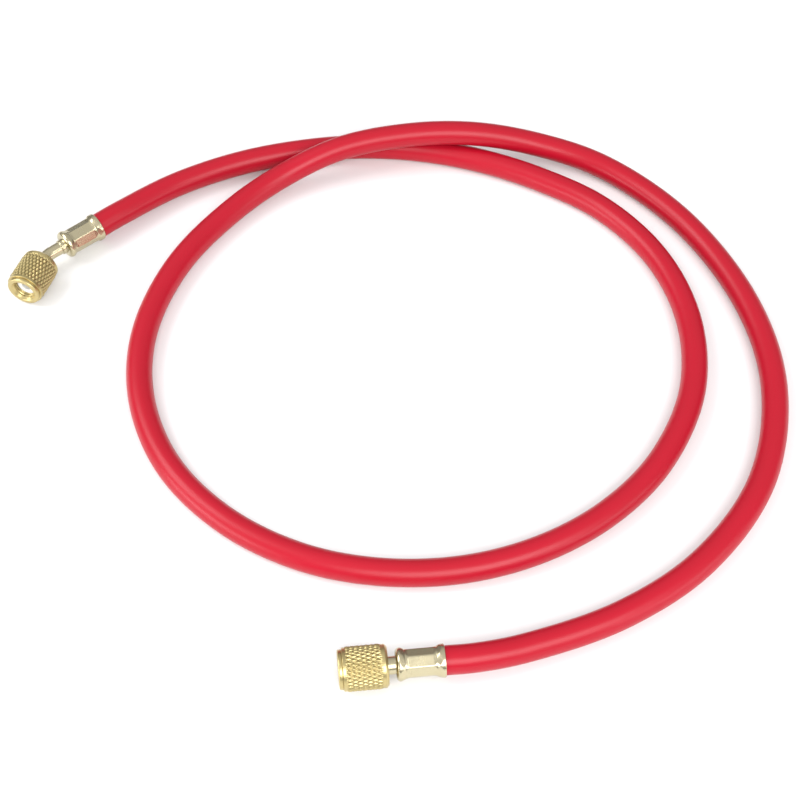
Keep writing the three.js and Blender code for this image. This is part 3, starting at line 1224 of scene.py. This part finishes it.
@dataclass(frozen=True)
class Hose:
    """The rubber hose, from inside one ferrule to inside the other."""

    start: Matrix
    end: Matrix
    offset: Vector
    radius: float = 0.006
    bore_radius: float = 0.0025
    squeezed_radius: float = 0.00504
    squeeze_from: float = 0.0021
    squeeze_to: float = 0.0038
    seat: float = 0.001
    hidden_end: float = 0.0168
    exit_straight: float = 0.013
    crossing_lift: float = 0.0125
    visible_length: float = 1.455
    ring_step: float = 0.0015
    bore_step: float = 0.006
    span_samples: int = 60
    path_every: int = 2
    sides: int = 40
    route: tuple[tuple[float, ...], ...] = (
        (-0.098, 0.1455, 0.1),
        (-0.066, 0.1582, 0.03),
        (-0.035, 0.1638, 0.005),
        (-0.004, 0.1643),
        (0.0265, 0.159),
        (0.056, 0.1483),
        (0.0845, 0.1318),
        (0.1114, 0.1093),
        (0.132, 0.0755),
        (0.1399, 0.035),
        (0.133, -0.0075),
        (0.1106, -0.0453),
        (0.083, -0.0694),
        (0.052, -0.0843),
        (0.018, -0.091),
        (-0.017, -0.0888),
        (-0.05, -0.078),
        (-0.081, -0.0565),
        (-0.105, -0.025),
        (-0.1166, 0.014),
        (-0.1145, 0.053),
        (-0.098, 0.093, 0.005),
        (-0.072, 0.1245, 0.03),
        (-0.046, 0.1436, 0.24),
        (-0.015, 0.154, 0.78),
        (0.02, 0.1574, 1),
        (0.053, 0.1564, 0.9),
        (0.086, 0.151, 0.45),
        (0.117, 0.1358, 0.15),
        (0.149, 0.0978, 0.02),
        (0.169, 0.043, 0.005),
        (0.1706, -0.008),
        (0.153, -0.059),
        (0.119, -0.097, 0.002),
        (0.08, -0.119, 0.01),
        (0.038, -0.1308, 0.1),
    )

    def knots(self) -> np.ndarray:
        """The points that the hose's axis passes through, from ferrule to ferrule.

        Returns:
            The points, one to a row.
        """
        seat, outside = Vector((0, self.seat, 0)), Vector((0, -self.exit_straight, 0))
        points = [self.start @ seat, self.start @ outside]
        for x, y, *share in self.route:
            lift = self.crossing_lift * sum(share)
            points.append(self.offset + Vector((x, y, self.radius + lift)))
        points += [self.end @ outside, self.end @ seat]
        return np.array([tuple(point) for point in points])

    def smooth_line(self) -> np.ndarray:
        """A centripetal Catmull-Rom curve through the knots.

        Returns:
            The points of the curve.
        """
        knots = self.knots()
        knots = np.vstack([2 * knots[0] - knots[1], knots, 2 * knots[-1] - knots[-2]])
        spans = np.sqrt(np.linalg.norm(np.diff(knots, axis=0), axis=1))
        t = np.linspace(0, 1, self.span_samples, endpoint=False)[:, None]
        line = []
        for i in range(1, len(knots) - 2):
            before, here, after, beyond = knots[i - 1 : i + 3]
            d0, d1, d2 = spans[i - 1 : i + 2]
            slope_in = ((here - before) / d0 - (after - before) / (d0 + d1) + (after - here) / d1) * d1
            slope_out = ((after - here) / d1 - (beyond - here) / (d1 + d2) + (beyond - after) / d2) * d1
            cubic = 2 * here - 2 * after + slope_in + slope_out
            square = -3 * here + 3 * after - 2 * slope_in - slope_out
            line.append(here + slope_in * t + square * t**2 + cubic * t**3)
        return np.vstack([*line, knots[-2]])

    def centreline(self) -> tuple[np.ndarray, np.ndarray]:
        """The whole axis at even steps, with the straight ends inside the ferrules.

        Returns:
            The points, and the distance of each from the first one.
        """
        first = np.array(self.start @ Vector((0, self.hidden_end, 0)))
        last = np.array(self.end @ Vector((0, self.hidden_end, 0)))
        line = np.vstack([first, self.smooth_line(), last])
        travelled = np.concatenate([[0], np.cumsum(np.linalg.norm(np.diff(line, axis=0), axis=1))])
        count = round(travelled[-1] / self.ring_step)
        distances = np.linspace(0, travelled[-1], count + 1)
        points = [np.interp(distances, travelled, line[:, axis]) for axis in range(3)]
        return np.stack(points, axis=1), distances

    def radii(self, distances: np.ndarray) -> np.ndarray:
        """The outer radius at each distance, squeezed where the ferrules hold it.

        Args:
            distances: The distances along the hose.

        Returns:
            The radii.
        """
        from_end = np.minimum(distances, distances[-1] - distances)
        depth = self.hidden_end - from_end
        share = np.clip((depth - self.squeeze_from) / (self.squeeze_to - self.squeeze_from), 0, 1)
        eased = share * share * (3 - 2 * share)
        return self.radius + (self.squeezed_radius - self.radius) * eased

    def tube(self, line: np.ndarray, radii: np.ndarray) -> np.ndarray:
        """Circles of points round a line.

        Args:
            line: The points of the line.
            radii: The radius at each point.

        Returns:
            The points, by row and side.
        """
        tangents = np.gradient(line, axis=0)
        tangents /= np.linalg.norm(tangents, axis=1)[:, None]
        sideways = np.cross(tangents, (0, 0, 1))
        sideways /= np.linalg.norm(sideways, axis=1)[:, None]
        upward = np.cross(sideways, tangents)
        angles = np.linspace(0, TAU, self.sides, endpoint=False)
        spokes = sideways[:, None, :] * np.cos(angles)[None, :, None]
        spokes = spokes + upward[:, None, :] * np.sin(angles)[None, :, None]
        return line[:, None, :] + spokes * radii[:, None, None]

    def build(self) -> bpy.types.Object:
        """Makes the hose with its bore, and stores the way along and around it.

        Returns:
            The new piece.
        """
        line, distances = self.centreline()
        every = round(self.bore_step / self.ring_step)
        inside = np.append(np.arange(0, len(line) - 1, every), len(line) - 1)[::-1]
        bore_radii = np.full(len(line), self.bore_radius)
        outer = self.tube(line, self.radii(distances))
        bore = self.tube(line, bore_radii)[inside]
        hose = skin("red_hose", np.concatenate([outer, bore]))
        self.store_ways(hose.data, np.concatenate([distances, distances[inside]]))
        return hose

    def store_ways(self, mesh: bpy.types.Mesh, distances: np.ndarray) -> None:
        """Stores the distance along and around the hose at each face's corners.

        Args:
            mesh: The hose's mesh, with its points in rows.
            distances: The distance along of each row.
        """
        corners = np.empty(len(mesh.loops), dtype=np.int32)
        mesh.loops.foreach_get("vertex_index", corners)
        row, side = np.divmod(corners, self.sides)
        sides = side.reshape(-1, 4)
        wraps = (sides.max(axis=1) - sides.min(axis=1) > 1)[:, None]
        sides = np.where(wraps & (sides == 0), self.sides, sides)
        around = sides.ravel() * (self.girth / self.sides)
        for name, values in (("along", distances[row]), ("around", around)):
            stored = mesh.attributes.new(name, "FLOAT", "CORNER")
            stored.data.foreach_set("value", values.astype(np.float32))

    @property
    def girth(self) -> float:
        """The way round the hose."""
        return TAU * self.radius

    def dress(self, hose: bpy.types.Object, on_it: Sequence[bpy.types.Object]) -> None:
        """Args:
            hose: The hose.
            on_it: The pieces at its far end; not used.
        """
        material = RubberFinish().material(self.girth)
        stand_for(hose, "hose_tube", material, Matrix.Identity(4))
        line, _ = self.centreline()
        2 * self.radius


# The studio


@dataclass(frozen=True)
class PhotoCamera:
    """The camera at the photograph's place, looking down on the hose."""

    location: Point = (-0.04313, -0.4434, 0.579)
    tilt: float = 37.0
    yaw: float = -5.8
    lens: float = 71.33
    sensor: float = 36.0

    def build(self) -> None:
        """Makes the scene's camera."""
        data = bpy.data.cameras.new("photo_camera")
        data.lens = self.lens
        data.sensor_width = self.sensor
        camera = bpy.data.objects.new("photo_camera", data)
        camera.location = self.location
        camera.rotation_euler = (math.radians(self.tilt), 0, math.radians(self.yaw))
        bpy.context.scene.collection.objects.link(camera)
        bpy.context.scene.camera = camera


@dataclass(frozen=True)
class SoftLight:
    """One softbox, aimed at the middle of the floor."""

    name: str
    location: Point
    width: float
    height: float
    power: float

    def build(self) -> None:
        """Makes the light."""
        data = bpy.data.lights.new(self.name, "AREA")
        data.shape = "RECTANGLE"
        data.size = self.width
        data.size_y = self.height
        data.energy = self.power
        light = bpy.data.objects.new(self.name, data)
        light.location = self.location
        light.rotation_euler = (-Vector(self.location)).to_track_quat("-Z", "Y").to_euler()
        bpy.context.scene.collection.objects.link(light)


@dataclass(frozen=True)
class Studio:
    """The pale floor, the softboxes and the room's own dim light."""

    floor_size: float = 2.4
    backdrop_colour: Colour = (0.95, 0.95, 0.95, 1)
    room_stops: tuple[tuple[float, Colour], ...] = (
        (0.0, (0.05, 0.05, 0.05, 1)),
        (0.50, (0.05, 0.05, 0.05, 1)),
        (0.57, (0.22, 0.22, 0.22, 1)),
        (0.75, (0.62, 0.62, 0.63, 1)),
        (1.0, (0.88, 0.88, 0.89, 1)),
    )
    lights: tuple[SoftLight, ...] = (
        SoftLight("left_softbox", (-1.05, 0.25, 1.15), 0.9, 0.9, 13.5),
        SoftLight("front_softbox", (0.25, -1.00, 0.95), 1.3, 0.8, 20.5),
        SoftLight("low_left_softbox", (-1.20, -0.45, 0.24), 0.9, 0.42, 8.0),
        SoftLight("low_right_softbox", (1.10, -0.80, 0.28), 0.9, 0.42, 4.0),
    )

    def build(self) -> None:
        """Makes the floor, the lights and the world."""
        self.floor()
        self.world()
        for light in self.lights:
            light.build()
        view = bpy.context.scene.view_settings
        view.view_transform = "Standard"
        view.look = "None"

    def floor(self) -> None:
        """Lays the floor under the hose."""
        half = self.floor_size / 2
        corners = [(-half, -half, 0), (half, -half, 0), (half, half, 0), (-half, half, 0)]
        mesh = bpy.data.meshes.new("floor")
        mesh.from_pydata(corners, [], [(0, 1, 2, 3)])
        mesh.materials.append(FloorFinish().material())
        floor = bpy.data.objects.new("floor", mesh)
        bpy.context.scene.collection.objects.link(floor)

    def world(self) -> None:
        """Lights the room from above, with a pale backdrop behind the floor."""
        paint = Paint(bpy.data.worlds.new("studio"))
        bpy.context.scene.world = paint.owner
        way = paint.node("ShaderNodeTexCoord", output="Generated")
        rise = paint.node("ShaderNodeSeparateXYZ", inputs={0: way}, output="Z")
        share = paint.node("ShaderNodeMapRange", inputs={"Value": rise, "From Min": -1.0})
        colour = paint.node("ShaderNodeValToRGB", {"stops": self.room_stops}, {0: share})
        room = paint.node("ShaderNodeBackground", inputs={"Color": colour})
        backdrop = paint.node("ShaderNodeBackground", inputs={"Color": self.backdrop_colour})
        seen = paint.node("ShaderNodeLightPath", output="Is Camera Ray")
        light = paint.node("ShaderNodeMixShader", inputs={0: seen, 1: room, 2: backdrop})
        paint.node("ShaderNodeOutputWorld", inputs={"Surface": light})


@dataclass(frozen=True)
class ChargingHose:
    """The whole part: the hose and its two fittings."""

    plan: FloorPlan = FloorPlan()
    neck_shown: float = 0.003
    straight_head_front: float = 0.0073
    angled_head_front: float = 0.0137
    bend_start: float = 0.0268
    bend_radius: float = 0.012
    bend_angle: float = math.radians(30)
    tube_after_bend: float = 0.001
    collar_length: float = 0.0019

    def straight_fitting(self) -> Fitting:
        """The straight end.

        Returns:
            The fitting, not yet built.
        """
        base = self.plan.fitting_frame(self.plan.straight_end)
        nut_back = FERRULE_LENGTH + self.neck_shown
        head_front = nut_back + self.straight_head_front
        return Fitting(
            prefix="straight",
            frame=base,
            nut_frame=base @ Matrix.Translation((0, nut_back, 0)),
            stem=Stem(neck_end=nut_back, head_front=head_front),
            gasket_seat=self.straight_head_front + FIT_GAP,
        )

    def angled_fitting(self) -> Fitting:
        """The angled end, with the depressor in its gasket.

        Returns:
            The fitting, not yet built.
        """
        base = self.plan.fitting_frame(self.plan.angled_end)
        line = TurningLine(self.bend_start, self.bend_radius, self.bend_angle)
        nut_back = line.bend_end + self.tube_after_bend
        stem = Stem(
            neck_end=nut_back + FIT_GAP,
            head_front=nut_back + self.angled_head_front,
            line=line,
            collar_end=FERRULE_LENGTH + self.collar_length,
        )
        return Fitting(
            prefix="angled",
            frame=base,
            nut_frame=base @ line.end_frame(nut_back),
            stem=stem,
            gasket_seat=self.angled_head_front + FIT_GAP,
            has_depressor=True,
        )

    def build(self) -> None:
        angled = self.angled_fitting()
        straight = self.straight_fitting()
        angled.build()
        far_end = straight.build()
        hose = Hose(start=angled.frame, end=straight.frame, offset=self.plan.offset())
        hose.dress(hose.build(), far_end)


def main() -> None:
    """Builds the camera, the part and the studio round it."""
    logging.basicConfig(level=logging.INFO, format="%(name)s: %(message)s")
    PhotoCamera().build()
    ChargingHose().build()
    Studio().build()


if __name__ == "__main__":
    main()
